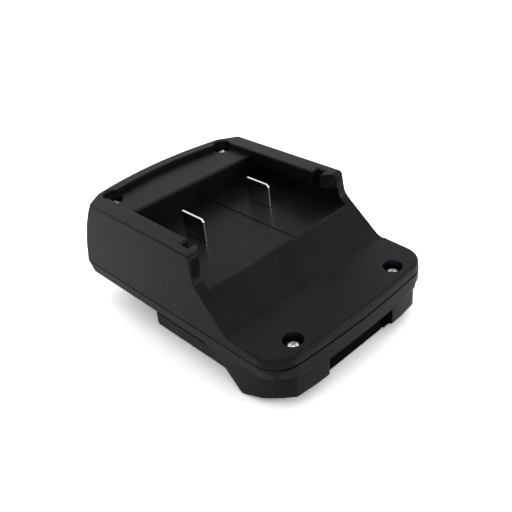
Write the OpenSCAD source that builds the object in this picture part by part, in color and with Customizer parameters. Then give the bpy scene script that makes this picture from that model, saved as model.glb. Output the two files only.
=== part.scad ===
// Battery adapter for slide-pack power tools.
// A battery slides into the pocket on top, and the rails underneath slide onto a tool.
// +X is right, -Y is the nose, +Z is up; the origin is under the middle, on the resting face.

/* [Housing] */
// Overall width, at the joint line
body_w = 84; // [80:1:94]
// Overall length, nose to rear
body_l = 115; // [111:1:130]
// Height from the underside to the top of the rim
body_h = 48.4; // [47:0.2:58]
// Height of the joint line between the two housings
split_h = 19.8; // [18.6:0.2:20.6]
// Wall thickness of both housings
wall = 2.4; // [2:0.1:2.8]
// Depth and height of the shadow line along the joint
shadow_gap = 0.5; // [0.2:0.1:0.8]

// How far each side leans in from the joint line up to the rim
side_lean = 2; // [0.4:0.1:3]

/* [Nose] */
// Length of the flat nose in front of the ramp
nose_l = 24.9; // [23:0.1:28]
// Height of the top of the nose
nose_h = 23.5; // [22.6:0.1:26]
// Radius of the nose corners in plan
nose_r = 10.5; // [8:0.5:12]
// Bulge of the nose front
nose_bow = 1.4; // [0.4:0.1:2]
// Radius of the edge round the nose top
nose_edge = 1.2; // [1.2:0.1:2.4]
// Run of the ramp from the nose to the pocket floor
ramp_l = 13; // [10:0.2:16]
// Fillet at the foot of the ramp
ramp_r = 6; // [3:0.5:8]

/* [Rear end] */
// How much further back the rear wall stands at the joint line than at the rim
rear_lean = 2.5; // [1:0.1:5]
// Bulge of the rear wall at the rim
rim_bow = 3.6; // [2:0.2:5]
// Width of the corner cut at the rim
rim_cut_w = 8.4; // [7:0.5:10]
// Length of the corner cut at the rim
rim_cut_l = 5.6; // [5:0.2:8]
// Bulge of the rear wall at the joint line
foot_bow = 1.2; // [0.6:0.1:2]
// Size of the corner cut at the joint line
foot_cut = 1.2; // [0.6:0.1:3]

/* [Battery pocket] */
// Clear width between the two lips
pocket_w = 64.2; // [61:0.2:65]
// Length of the pocket floor
pocket_l = 50; // [47:0.5:54]
// Depth from the rim to the floor
pocket_d = 13; // [11.5:0.1:14]
// Thickness of the pocket floor
floor_t = 2.2; // [1.8:0.1:2.6]
// Height of the lips
lip_h = 6.4; // [5:0.1:7]
// Depth of the grooves under the lips
groove_d = 4.5; // [3.9:0.1:5]
// Length of the latch notches in the lips
notch_l = 4.5; // [3.5:0.1:7]
// Depth of the latch notches
notch_d = 3.8; // [2:0.1:4]
// Length of the lip in front of the latch notch
lead_l = 5; // [3:0.1:6]
// Angle of the lead-in on that lip
lead_angle = 36; // [15:1:40]
// Distance from the front edge of the floor back to the front end of the rim
rim_setback = 4.3; // [3:0.1:6]
// Forward lean of the rim's front ends, in degrees
rim_slant = 4; // [1:1:16]
// Fillet between the rim's front ends and the ramp
rim_r = 5; // [3:0.5:8]
// Rounding of the rim's front corners
rim_end_r = 1.8; // [0.8:0.1:3]
// Depth of the shelf behind the pocket
shelf_drop = 2.4; // [1.5:0.1:3]
// Width of the rim behind the shelf
rim_rear_w = 5; // [3.5:0.1:6]
// Distance of the fine floor groove from the middle
floor_line_x = 6.2; // [4:0.1:8]

/* [Contacts] */
// Distance between the two blades, and between the two clips
contact_pitch = 34.5; // [33:0.1:37]
// Length of a blade
blade_l = 12.4; // [9:0.1:14]
// Height of a blade above the pocket floor
blade_h = 10.2; // [7:0.1:11]
// Thickness of a blade
blade_t = 0.85; // [0.6:0.05:1]
// Distance from the pocket's rear wall to the blades
blade_setback = 14; // [11:0.1:16]
// Thickness of the clip sheet
clip_t = 0.6; // [0.5:0.05:0.8]
// Outside diameter of the wires
wire_d = 2.6; // [2.3:0.1:3]
// Wall of the shrink sleeves
sleeve_t = 0.4; // [0.3:0.05:0.6]

/* [Tool rails] */
// Thickness of the flange below the joint line
flange_t = 4.5; // [3.8:0.1:5]
// Length of the rails behind the nose
rail_l = 55.4; // [50:0.2:60]
// Clearance of the rails in the tool's grooves, each side
rail_clear = 0.25; // [0.15:0.05:0.4]
// Thickness of the rail heads
rail_head_h = 6.3; // [5:0.1:7.5]
// Length of the underside of the nose
toe_l = 22.1; // [21:0.1:24]
// Height of the line round the nose front
toe_h = 12.9; // [12:0.1:13.5]
// How far the underside of the nose rises to its front edge
toe_lift = 5.2; // [4:0.1:6]
// Run of the slope behind the underside of the nose
toe_run = 16; // [12:0.2:18]
// How far the toe stands in from the band above it
toe_inset = 0.5; // [0.3:0.1:1]
// Width of the key channel in the underside
key_w = 18; // [15:0.5:19]
// Depth of the key channel
key_d = 4.6; // [4.2:0.1:5]

/* [Latch] */
// Width of the button opening
button_w = 35.2; // [32:0.2:36.4]
// Length of the button opening in the underside
button_l = 11.5; // [10:0.1:12]
// How far the button's face stands back from the nose front
button_setback = 5; // [4.6:0.1:5.6]
// Height of the button's lower face
button_low = 1.2; // [0.6:0.1:2]
// Travel of the button
button_travel = 3.5; // [2.5:0.1:3.8]
// Side clearance of the button and the hook
button_clear = 0.5; // [0.3:0.05:0.7]
// Width of the hook
hook_w = 10; // [7:0.2:11]
// Mean radius of the latch springs
spring_r = 2.7; // [2.5:0.1:3.2]
// Wire of the latch springs
spring_wire = 0.7; // [0.5:0.05:0.8]
// Turns of the latch springs
spring_turns = 4; // [3:0.5:4]

/* [Screws] */
// Diameter of the screw wells
well_d = 7.4; // [6.4:0.1:7.6]
// Depth of the rear screw heads below the shelf
rear_well = 1.3; // [0.6:0.1:3]
// Depth of the nose screw heads below the nose top
nose_well = 2.2; // [1:0.1:3]
// Thread diameter of the housing screws
screw_d = 3; // [2.6:0.1:3.2]
// Length of the housing screws under the head
screw_l = 11; // [9:0.5:12]
// Head diameter of the housing screws
head_d = 5.8; // [5:0.1:6]
// Head height of the housing screws
head_h = 2; // [1.6:0.1:2.2]
// Thread diameter of the inner screws
small_d = 2.2; // [1.8:0.1:2.4]
// Head diameter of the inner screws
small_head_d = 4; // [3.4:0.1:4.4]
// Head height of the inner screws
small_head_h = 1.5; // [1.2:0.1:1.7]
// Distance of the rear screws from the middle
rear_screw_x = 29.4; // [28.5:0.1:31]
// Distance of the rear screws from the rear end
rear_screw_back = 11.9; // [11.4:0.1:15]
// Distance of the nose screws from the middle
nose_screw_x = 27.4; // [26.8:0.1:28.5]
// Distance of the nose screws from the nose front
nose_screw_back = 8.1; // [7.8:0.1:8.4]

/* [Hidden] */

shell_black = [0.09, 0.09, 0.10];
inner_grey = [0.25, 0.25, 0.27];
steel = [0.75, 0.75, 0.77];
brass_tint = [0.80, 0.66, 0.38];
red_wire = [0.65, 0.10, 0.08];
black_wire = [0.12, 0.12, 0.13];

$fn = 48;
eps = 0.01;
over = 1;
fit = 0.05;
seat_gap = 0.1;
web = 2.4;
tube_wall = 1.6;
rib_t = 1.6;

// Stations along the length and heights
half_w = body_w / 2;
front_y = -body_l / 2;
rear_y = body_l / 2;
ramp_foot_y = front_y + nose_l;
ramp_top_y = ramp_foot_y + ramp_l;
pocket_rear_y = ramp_top_y + pocket_l;
floor_z = body_h - pocket_d;
floor_under_z = floor_z - floor_t;
lip_z = body_h - lip_h;
shelf_z = body_h - shelf_drop;
shelf_under_z = shelf_z - wall;
nose_under_z = max(nose_h - wall, split_h);
ramp_angle = atan2(floor_z - nose_h, ramp_l);
rim_front_y = ramp_top_y + rim_setback;
flange_z = split_h - flange_t;
toe_rear_y = front_y + toe_l;
rail_rear_y = toe_rear_y + rail_l;

// Screw places: [x, y, height of the top of the head]
rear_screw = [rear_screw_x, rear_y - rear_screw_back, shelf_z - rear_well];
nose_screw = [nose_screw_x, front_y + nose_screw_back, nose_h - nose_well];
function seat_z(place) = place[2] - head_h;
function post_z(place) = seat_z(place) - web;

// Plan outlines, each from the left side round the front to the right side and back
function arc(centre, r, from, to, n) =
    [for (i = [0 : n]) let (a = from + (to - from) * i / n) centre + r * [cos(a), sin(a)]];

corner_x = half_w - nose_r;
corner_y = front_y + nose_bow + nose_r;
function front_edge(inset, n = 8) = concat(
    arc([-corner_x, corner_y], nose_r - inset, 180, 270, n),
    [for (i = [1 : n - 1]) let (t = 2 * i / n - 1) [t * corner_x, front_y + inset + nose_bow * t * t]],
    arc([corner_x, corner_y], nose_r - inset, 270, 360, n));

function mix(a, b, t) = a + (b - a) * t;
function rise(z) = max(0, z - split_h) / (body_h - split_h);
function lean(z) = side_lean * rise(z);
// The corner cut grows faster near the rim
corner_power = 2.5;
function rear_edge(inset, z, n = 12) = let (
    t = rise(z),
    grow = pow(t, corner_power),
    apex = rear_y - rear_lean * t - inset,
    bow = mix(foot_bow, rim_bow, grow),
    side = half_w - lean(z) - inset,
    end_x = side - mix(foot_cut, rim_cut_w, grow),
    side_y = apex - bow - mix(foot_cut, rim_cut_l, grow))
    concat([[side, side_y]],
        [for (i = [0 : n]) let (u = 1 - 2 * i / n) [u * end_x, apex - bow * u * u]],
        [[-side, side_y]]);

function plan(inset, z) = concat(front_edge(inset + lean(z)), rear_edge(inset, z));

// Points of a fillet where a line at angle a0 turns to angle a1
function fillet(corner, a0, a1, r, n = 8) = let (
    s = a1 > a0 ? r : -r,
    run = s * tan((a1 - a0) / 2),
    centre = corner - run * [cos(a0), sin(a0)] + s * [-sin(a0), cos(a0)])
    [for (i = [0 : n]) let (a = mix(a0, a1, i / n)) centre + s * [sin(a), -cos(a)]];

rim_angle = 90 - rim_slant;
// Where the line of the rim's front end meets the line of the ramp
rim_foot_y = let (k = tan(ramp_angle), m = tan(rim_angle))
    (body_h - nose_h + k * ramp_foot_y - m * rim_front_y) / (k - m);
rim_foot_z = nose_h + (rim_foot_y - ramp_foot_y) * tan(ramp_angle);
fillet_y = ramp_foot_y - ramp_r * tan(ramp_angle / 2);

// Side outline of the upper housing behind the flat nose, as [y, z]
top_profile = concat(
    [[fillet_y, split_h]],
    fillet([ramp_foot_y, nose_h], 0, ramp_angle, ramp_r),
    fillet([rim_foot_y, rim_foot_z], ramp_angle, rim_angle, rim_r),
    fillet([rim_front_y, body_h], rim_angle, 0, rim_end_r),
    [[rear_y + over, body_h], [rear_y + over, split_h]]);

ramp_wall_z = wall / cos(ramp_angle);
function inner_ramp_y(z) = ramp_foot_y + (z - nose_h + ramp_wall_z) / tan(ramp_angle);
// Side outline of the hollow in the upper housing
hollow_profile = [
    [front_y - over, split_h - over], [front_y - over, nose_under_z],
    [inner_ramp_y(nose_under_z), nose_under_z], [inner_ramp_y(floor_under_z), floor_under_z],
    [pocket_rear_y + wall, floor_under_z], [pocket_rear_y + wall, shelf_under_z],
    [rear_y + over, shelf_under_z], [rear_y + over, split_h - over]];

module both_sides() {
    children();
    mirror([1, 0, 0]) children();
}

module along_x(w) rotate([90, 0, 90]) linear_extrude(w, center = true) children();

module block(low, high) translate(low) cube(high - low);

// Index of the point in the middle of the front, in every outline
front_mid = 12;

// A solid through outlines with the same number of points, one above the other
module loft(outlines, heights) {
    n = len(outlines[0]);
    last = (len(heights) - 1) * n;
    points = [for (k = [0 : len(heights) - 1], p = outlines[k]) [p[0], p[1], heights[k]]];
    walls = [for (k = [0 : len(heights) - 2], i = [0 : n - 1], half = [0, 1])
        let (a = k * n + i, b = k * n + (i + 1) % n) half == 0 ? [a, a + n, b] : [b, a + n, b + n]];
    caps = [for (k = [1 : n - 2]) let (c = front_mid, a = (c + k) % n, b = (c + k + 1) % n) each
        [[c, a, b], [last + c, last + b, last + a]]];
    polyhedron(points, concat(walls, caps));
}

module plan_loft(inset, heights) loft([for (z = heights) plan(inset, z)], heights);

// Cross recess of a screw head, as shares of the head diameter
drive_w = 0.32;
drive_t = 0.08;
module pan_screw(d, l, cap_d, cap_h) {
    translate([0, 0, -l]) cylinder(d = d, h = l);
    difference() {
        cylinder(d = cap_d, h = cap_h);
        translate([0, 0, cap_h / 2]) for (turn = [0, 90]) rotate(turn)
            block([-cap_d * drive_w, -cap_d * drive_t, 0], [cap_d * drive_w, cap_d * drive_t, cap_h]);
    }
}

// Upper housing

function nose_plan(inset, z) = let (side = half_w - lean(z), back = fillet_y + over)
    concat(front_edge(inset + lean(z)),
        [[side, fillet_y], [side - over, back], [over - side, back], [-side, fillet_y]]);

// Share of the nose above the joint line that its rounded edge may take
edge_share = 0.7;
edge_steps = 4;
module nose_block() {
    r = min(nose_edge, (nose_h - split_h) * edge_share);
    edge = [for (i = [0 : edge_steps]) let (a = 90 * i / edge_steps)
        [r * (1 - cos(a)), nose_h - r * (1 - sin(a))]];
    loft(concat([nose_plan(0, split_h)], [for (e = edge) nose_plan(e[0], e[1])]),
        concat([split_h], [for (e = edge) e[1]]));
}

// Heights of the outlines that the upper housing is drawn through
form_steps = [0, 0.4, 0.65, 0.85, 1];
module upper_form() {
    intersection() {
        plan_loft(0, [for (t = form_steps) mix(split_h, body_h, t)]);
        along_x(body_w + 2 * over) polygon(top_profile);
    }
    nose_block();
}

module upper_hollow() intersection() {
    plan_loft(wall, [split_h - eps, shelf_z]);
    along_x(body_w) polygon(hollow_profile);
}

notch_front_y = rim_front_y + lead_l;
module pocket_cut() {
    mouth_y = front_y - over;
    block([-pocket_w / 2, mouth_y, floor_z], [pocket_w / 2, pocket_rear_y, body_h + over]);
    block([-pocket_w / 2 - groove_d, mouth_y, floor_z], [pocket_w / 2 + groove_d, pocket_rear_y, lip_z]);
    both_sides() {
        block([pocket_w / 2 - over, notch_front_y, lip_z - over],
            [pocket_w / 2 + notch_d, notch_front_y + notch_l, body_h + over]);
        // Lead-in that opens the short front lip towards the nose
        run = notch_front_y - ramp_top_y;
        translate([pocket_w / 2, notch_front_y, lip_z - over]) linear_extrude(lip_h + 2 * over)
            polygon([[-over, 0], [0, 0], [run * tan(lead_angle), -run], [-over, -run]]);
    }
}

module shelf_cut() {
    apex = rear_y - rear_lean - rim_rear_w;
    half = pocket_w / 2;
    reach = half_w - side_lean - rim_cut_w;
    n = 12;
    translate([0, 0, shelf_z]) linear_extrude(shelf_drop + over) polygon(concat(
        [[-half, pocket_rear_y - over], [half, pocket_rear_y - over]],
        [for (i = [0 : n]) let (x = half - 2 * half * i / n) [x, apex - rim_bow * pow(x / reach, 2)]]));
}

floor_line_w = 0.6;
floor_line_d = 0.4;
floor_line_back = 4.4;
floor_line_front = 1.3;
blade_y0 = pocket_rear_y - blade_setback - blade_l;
blade_y1 = blade_y0 + blade_l;
blade_x = contact_pitch / 2;
module floor_line() block(
    [floor_line_x - floor_line_w / 2, ramp_top_y - floor_line_front, floor_z - floor_line_d],
    [floor_line_x + floor_line_w / 2, pocket_rear_y - floor_line_back, floor_z + over]);

module screw_tube(place, top) translate([place[0], place[1], post_z(place)])
    cylinder(d = well_d + 2 * tube_wall, h = top - post_z(place));

module screw_well(place) translate([place[0], place[1], 0]) {
    translate([0, 0, seat_z(place)]) cylinder(d = well_d, h = body_h - seat_z(place) + over);
    translate([0, 0, post_z(place) - over]) cylinder(d = screw_d + 4 * fit, h = web + 2 * over);
}

clamp_reach = 8;
clamp_boss_x = contact_pitch / 2 + clamp_reach;
clamp_boss_d = 6;
clamp_boss_h = 4;
clamp_y = (blade_y0 + blade_y1) / 2;
clamp_top_z = floor_under_z - clamp_boss_h;
thread_over = 0.6;
clamp_thread_l = clamp_boss_h + thread_over;

module upper_housing() color(shell_black) difference() {
    union() {
        difference() {
            upper_form();
            upper_hollow();
        }
        both_sides() {
            screw_tube(rear_screw, shelf_z - eps);
            screw_tube(nose_screw, nose_under_z + eps);
            translate([clamp_boss_x, clamp_y, clamp_top_z])
                cylinder(d = clamp_boss_d, h = clamp_boss_h + eps);
        }
    }
    pocket_cut();
    shelf_cut();
    floor_line();
    both_sides() {
        screw_well(rear_screw);
        screw_well(nose_screw);
        translate([clamp_boss_x, clamp_y, clamp_top_z - over])
            cylinder(d = small_d + 2 * fit, h = clamp_thread_l + over);
        block([blade_x - blade_t / 2 - fit, blade_y0 - fit, floor_under_z - over],
            [blade_x + blade_t / 2 + fit, blade_y1 + fit, floor_z + over]);
    }
}

// Lower housing

head_half = pocket_w / 2 + groove_d - rail_clear;
neck_half = pocket_w / 2 - rail_clear;
cavity_half = neck_half - wall;
roof_z = key_d + wall;
key_box_half = key_w / 2 + wall;
flange_taper = 3;

// Corner of the nose's lower outline: distances in from the side and back from the front
toe_in = [[0, 0.9], [1, 2.3], [2, 4], [3, 5.8], [4, 9]];
toe_from_front = [[0, 20.5], [1, 13], [2, 9.5], [3, 6.4], [4, 2.1]];
toe_front_in = 10.5;
toe_bow = 0.9;
toe_step = 0.4;
function toe_corner(inset, t) =
    [half_w - lookup(4 * t, toe_in) - inset, front_y + lookup(4 * t, toe_from_front) + inset];
function toe_edge(inset, n = 8) = concat(
    [for (i = [0 : n]) let (c = toe_corner(inset, i / n)) [-c[0], c[1]]],
    [for (i = [1 : n - 1]) let (t = 2 * i / n - 1)
        [t * (half_w - toe_front_in), front_y + toe_inset + inset + toe_bow * t * t]],
    [for (i = [n : -1 : 0]) toe_corner(inset, i / n)]);

toe_back_y = toe_rear_y + toe_run + over;
function toe_plan(inset) = let (side = toe_corner(inset, 0)[0])
    concat(toe_edge(inset), [[side, toe_back_y], [-side, toe_back_y]]);

// Height of the underside of the nose, which rises towards the front
function toe_z(y) = toe_lift * (toe_rear_y - y) / toe_l;
toe_profile = [
    [front_y - over, toe_z(front_y - over)], [toe_rear_y, 0], [toe_rear_y + toe_run, flange_z],
    [toe_rear_y + toe_run, flange_z + over], [front_y - over, flange_z + over]];
toe_hollow = [
    [front_y, toe_z(front_y) + wall], [toe_rear_y, wall], [toe_rear_y, split_h], [front_y, split_h]];

module toe(z0, z1) translate([0, 0, z0]) linear_extrude(z1 - z0) polygon(toe_plan(0));

// Band above the toe, which widens from the toe up to the flange
module nose_band() loft(
    [toe_plan(-toe_step), concat(front_edge(0), [[half_w, toe_back_y], [-half_w, toe_back_y]])],
    [toe_h, flange_z + eps]);

module flange() {
    top = split_h - shadow_gap;
    low_rear = [for (p = rear_edge(0, split_h)) p - [0, flange_taper]];
    loft([concat(front_edge(0), low_rear), plan(0, split_h)], [flange_z, top]);
    translate([0, 0, top - eps]) linear_extrude(shadow_gap + eps) polygon(plan(shadow_gap, split_h));
}

rail_lead = 1;
module rail_block() {
    linear_extrude(rail_head_h) polygon([
        [-head_half, toe_rear_y], [head_half, toe_rear_y], [head_half, rail_rear_y - rail_lead],
        [head_half - rail_lead, rail_rear_y], [rail_lead - head_half, rail_rear_y],
        [-head_half, rail_rear_y - rail_lead]]);
    block([-neck_half, toe_rear_y, rail_head_h - eps], [neck_half, rail_rear_y, flange_z + eps]);
}

module lower_form() {
    flange();
    rail_block();
    intersection() {
        union() {
            toe(0, toe_h + eps);
            nose_band();
        }
        along_x(body_w + 2 * over) polygon(toe_profile);
    }
}

module lower_hollow() {
    floor_top = flange_z + wall;
    translate([0, 0, floor_top]) linear_extrude(split_h - floor_top + over) polygon(plan(wall, split_h));
    intersection() {
        linear_extrude(split_h) polygon(toe_plan(wall));
        along_x(body_w) polygon(toe_hollow);
    }
    block([-cavity_half, toe_rear_y - over, wall], [cavity_half, rail_rear_y - wall, split_h]);
    // Room for the screw tubes that reach down from the upper housing
    both_sides() translate([nose_screw[0], nose_screw[1], post_z(nose_screw)])
        cylinder(d = well_d + 2 * (tube_wall + seat_gap), h = split_h);
}

// Roof and walls of the key channel, inside the hollow
module key_box() block([-key_box_half, toe_rear_y - wall, 0], [key_box_half, rail_rear_y - eps, roof_z]);

post_d = 7.6;
module screw_post(place, low) translate([place[0], place[1], low])
    cylinder(d = post_d, h = post_z(place) - low);
tip_gap = 0.5;
module post_bore(place) translate([place[0], place[1], seat_z(place) - screw_l - tip_gap])
    cylinder(d = screw_d + 2 * fit, h = body_h);

// Side walls and ceiling of the recess in front of the button
module button_hood() block([-button_w / 2 - rib_t, front_y, 0],
    [button_w / 2 + rib_t, button_y0 - button_clear, toe_h + rib_t]);

hook_l = 4.2;
hook_back = 7;
hook_y1 = toe_rear_y + hook_back;
hook_y0 = hook_y1 - hook_l;
button_y0 = front_y + button_setback;
button_rear_y = front_y + button_l;
button_t = 2;
wing_out = 2.9;
wing_l = 6;
wing_half = button_w / 2 + wing_out;
wing_y0 = button_rear_y + button_clear;
wing_y1 = wing_y0 + wing_l;
arm_t = 2;
arm_over = 1.4;
arm_z = roof_z + arm_over;
rest_out = 0.8;
rest_x = button_w / 2 + rest_out;
spring_x = 11;
spring_y = (wing_y0 + wing_y1) / 2;
retainer_t = 1.4;
retainer_z = nose_under_z - seat_gap - retainer_t;
foot_over = 2.8;
retainer_foot_z = arm_z + foot_over;
retainer_foot_t = 2;
retainer_reach = 5.5;
retainer_screw_x = wing_half + retainer_reach;
retainer_boss_d = 5.8;
small_screw_l = 7;
boss_foot_z = toe_z(wing_y0) + wall / 2;

clip_back = 1;
clip_y1 = rail_rear_y - wall - clip_back;
clip_l = 11;
clip_y0 = clip_y1 - clip_l;
clip_x = contact_pitch / 2;
block_wall = 2;
block_rise = 5.4;
block_y0 = clip_y0 - block_wall;
block_y1 = clip_y1;
block_low_z = wall + seat_gap;
block_high_z = roof_z + block_rise;
pod_half = 5.4;
ear_t = 3;
ear_reach = 3.4;
ear_z = block_high_z - ear_t;
ear_x = clip_x + pod_half + ear_reach;
ear_boss_d = 5.4;
block_screw_y = (block_y0 + block_y1) / 2;
slot_w = 3;
slot_in = 1;

module lower_housing() color(shell_black) difference() {
    union() {
        difference() {
            lower_form();
            lower_hollow();
        }
        intersection() {
            union() {
                key_box();
                button_hood();
            }
            lower_form();
        }
        both_sides() {
            screw_post(rear_screw, flange_z + eps);
            screw_post(nose_screw, toe_z(nose_screw[1]) + wall / 2);
            translate([retainer_screw_x, spring_y, boss_foot_z])
                cylinder(d = retainer_boss_d, h = retainer_foot_z - boss_foot_z);
            translate([ear_x, block_screw_y, wall - eps]) cylinder(d = ear_boss_d, h = ear_z - wall + eps);
            // Rib that the button's wing rests on
            block([rest_x, wing_y0, boss_foot_z], [rest_x + rib_t, wing_y1, arm_z]);
        }
    }
    // Key channel and the window for the hook
    block([-key_w / 2, toe_rear_y, -over], [key_w / 2, rail_rear_y + over, key_d]);
    block([-hook_w / 2 - button_clear, hook_y0 - button_clear, 0],
        [hook_w / 2 + button_clear, hook_y1 + button_clear, roof_z + over]);
    // Button opening, through the front and the underside
    block([-button_w / 2, front_y - over, -over], [button_w / 2, button_y0 + button_t, toe_h]);
    block([-button_w / 2, front_y - over, -over], [button_w / 2, button_rear_y, toe_lift + wall]);
    both_sides() {
        post_bore(rear_screw);
        post_bore(nose_screw);
        translate([retainer_screw_x, spring_y, retainer_foot_z - small_screw_l])
            cylinder(d = small_d + 2 * fit, h = small_screw_l + over);
        translate([ear_x, block_screw_y, ear_z - small_screw_l + tip_gap])
            cylinder(d = small_d + 2 * fit, h = small_screw_l);
        // Slots for the tool's blades, open to the rear and underneath
        block([clip_x - slot_w / 2, clip_y0 + slot_in, -over],
            [clip_x + slot_w / 2, rail_rear_y + over, wall + over]);
        block([clip_x - slot_w / 2, rail_rear_y - wall - over, -over],
            [clip_x + slot_w / 2, rail_rear_y + over, flange_z - wall]);
    }
}

module housing_screws() color(steel) both_sides() for (place = [rear_screw, nose_screw])
    translate([place[0], place[1], seat_z(place)]) pan_screw(screw_d, screw_l, head_d, head_h);

// Battery-side contacts

shoulder_h = 2;
shoulder_out = 2.5;
tail_w = 3;
tail_l = 10.5;
blade_clip = 1;
tail_y = clamp_y;
shoulder_z = floor_under_z - shoulder_h;
tail_z = shoulder_z - tail_l;
module blade() translate([blade_x, 0, 0]) along_x(blade_t) polygon([
    [blade_y0, floor_under_z - fit], [blade_y0, floor_z + blade_h - blade_clip],
    [blade_y0 + blade_clip, floor_z + blade_h],
    [blade_y1, floor_z + blade_h], [blade_y1, floor_under_z - fit],
    [blade_y1 + shoulder_out, floor_under_z - fit], [blade_y1 + shoulder_out, shoulder_z],
    [tail_y + tail_w / 2, shoulder_z], [tail_y + tail_w / 2, tail_z],
    [tail_y - tail_w / 2, tail_z], [tail_y - tail_w / 2, shoulder_z],
    [blade_y0 - shoulder_out, shoulder_z], [blade_y0 - shoulder_out, floor_under_z - fit]]);

module positive_blade() color(brass_tint) blade();
module negative_blade() color(brass_tint) mirror([1, 0, 0]) blade();

clamp_t = 2.6;
clamp_w = 9;
clamp_pad = 3;
module blade_clamp() color(inner_grey) difference() {
    union() {
        block([-clamp_boss_x - clamp_boss_d / 2, clamp_y - clamp_w / 2, clamp_top_z - clamp_t],
            [clamp_boss_x + clamp_boss_d / 2, clamp_y + clamp_w / 2, clamp_top_z]);
        both_sides() block([blade_x - clamp_pad, clamp_y - clamp_w / 2, clamp_top_z - eps],
            [blade_x + clamp_pad, clamp_y + clamp_w / 2, shoulder_z]);
    }
    both_sides() {
        block(
            [blade_x - blade_t / 2 - 2 * fit, tail_y - tail_w / 2 - 2 * fit, clamp_top_z - clamp_t - over],
            [blade_x + blade_t / 2 + 2 * fit, tail_y + tail_w / 2 + 2 * fit, shoulder_z + over]);
        translate([clamp_boss_x, clamp_y, clamp_top_z - clamp_t - over])
            cylinder(d = small_d + 4 * fit, h = clamp_t + 2 * over);
    }
}

module blade_clamp_screws() color(steel) both_sides()
    translate([clamp_boss_x, clamp_y, clamp_top_z - clamp_t]) mirror([0, 0, 1])
        pan_screw(small_d, clamp_t + clamp_thread_l - tip_gap, small_head_d, small_head_h);

// Tool-side contacts

chamber_half = 3.2;
module terminal_block() color(inner_grey) difference() {
    union() {
        block([-ear_x - ear_boss_d / 2, block_y0, ear_z], [ear_x + ear_boss_d / 2, block_y1, block_high_z]);
        both_sides() block([clip_x - pod_half, block_y0, block_low_z],
            [clip_x + pod_half, block_y1, ear_z + eps]);
    }
    both_sides() {
        block([clip_x - chamber_half, clip_y0 - fit, block_low_z - over],
            [clip_x + chamber_half, block_y1 + over, clip_top_z + seat_gap]);
        block([clip_x - clip_t / 2 - 2 * fit, block_y0 - over, clip_tail_z - clip_tail_h / 2 - 2 * fit],
            [clip_x + clip_t / 2 + 2 * fit, clip_y0 + over, clip_tail_z + clip_tail_h / 2 + 2 * fit]);
        translate([ear_x, block_screw_y, ear_z - over])
            cylinder(d = small_d + 4 * fit, h = ear_t + 2 * over);
    }
}

module terminal_block_screws() color(steel) both_sides()
    translate([ear_x, block_screw_y, block_high_z])
        pan_screw(small_d, ear_t + small_screw_l - 3 * tip_gap, small_head_d, small_head_h);

clip_lift = 0.3;
clip_low_z = block_low_z + clip_lift;
clip_over = 2;
clip_top_z = roof_z + clip_over;
clip_tail_l = 8;
clip_tail_h = 3;
clip_tail_z = 6.2;
clip_gap = 0.7;
clip_mouth = 2.2;
// Plan of one jaw: straight from the base, closing to the pinch and opening at the mouth
jaw_gap = 0.4;
jaw_bend = 0.25;
jaw_pinch = 0.68;
jaw = let (out = chamber_half - jaw_gap,
    bend_y = clip_y0 + clip_l * jaw_bend, pinch_y = clip_y0 + clip_l * jaw_pinch)
    [[out, clip_y0], [out, bend_y], [clip_gap / 2 + clip_t, pinch_y],
     [clip_mouth, clip_y1], [clip_mouth - clip_t, clip_y1], [clip_gap / 2, pinch_y],
     [out - clip_t, bend_y - clip_t / 2], [out - clip_t, clip_y0 + clip_t - eps], [0, clip_y0 + clip_t],
     [0, clip_y0]];
module clip() translate([clip_x, 0, 0]) {
    translate([0, 0, clip_low_z]) linear_extrude(clip_top_z - clip_low_z) {
        polygon(jaw);
        mirror([1, 0]) polygon(jaw);
    }
    block([-clip_t / 2, block_y0 - clip_tail_l, clip_tail_z - clip_tail_h / 2],
        [clip_t / 2, clip_y0 + eps, clip_tail_z + clip_tail_h / 2]);
}

module positive_clip() color(brass_tint) clip();
module negative_clip() color(brass_tint) mirror([1, 0, 0]) clip();

// Wires: a tube swept along a smooth curve through hand-chosen points

blade_wire_x = blade_x + blade_t / 2 + wire_d / 2 + fit;
clip_wire_x = clip_x + clip_t / 2 + wire_d / 2 + fit;
clip_tail_y = block_y0 - clip_tail_l;
// The route runs down the blade's tail, turns above the terminal block and comes round to the clip's tail.
// Steps are [out, back, up]
wire_room = 1;
wire_turn = [0.4, -2.7, -3.7];
wire_turn_z = max(tail_z + wire_turn[2], block_high_z + wire_d / 2 + wire_room);
wire_route = concat(
    [for (up = [5, 2.5, -1]) [blade_wire_x, tail_y, tail_z + up]],
    [[blade_wire_x + wire_turn[0], tail_y + wire_turn[1], wire_turn_z]],
    [for (s = [[1, 4, 9.2], [1, -4, 7.4], [0.6, -7, 3.6], [0, -4.5, 0.4], [0, 0, 0], [0, 3, 0], [0, 6, 0]])
        [clip_wire_x + s[0], clip_tail_y + s[1], clip_tail_z + s[2]]]);

function curve_point(p, i, t) = let (
    a = p[max(i - 1, 0)], b = p[i], c = p[i + 1], d = p[min(i + 2, len(p) - 1)])
    0.5 * (2 * b + (c - a) * t + (2 * a - 5 * b + 4 * c - d) * t * t + (3 * b - a - 3 * c + d) * t * t * t);
function curve(p, steps) = concat(
    [for (i = [0 : len(p) - 2], k = [0 : steps - 1]) curve_point(p, i, k / steps)], [p[len(p) - 1]]);

function unit(v) = v / norm(v);
function heading(path, i) = unit(path[min(i + 1, len(path) - 1)] - path[max(i - 1, 0)]);

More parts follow.
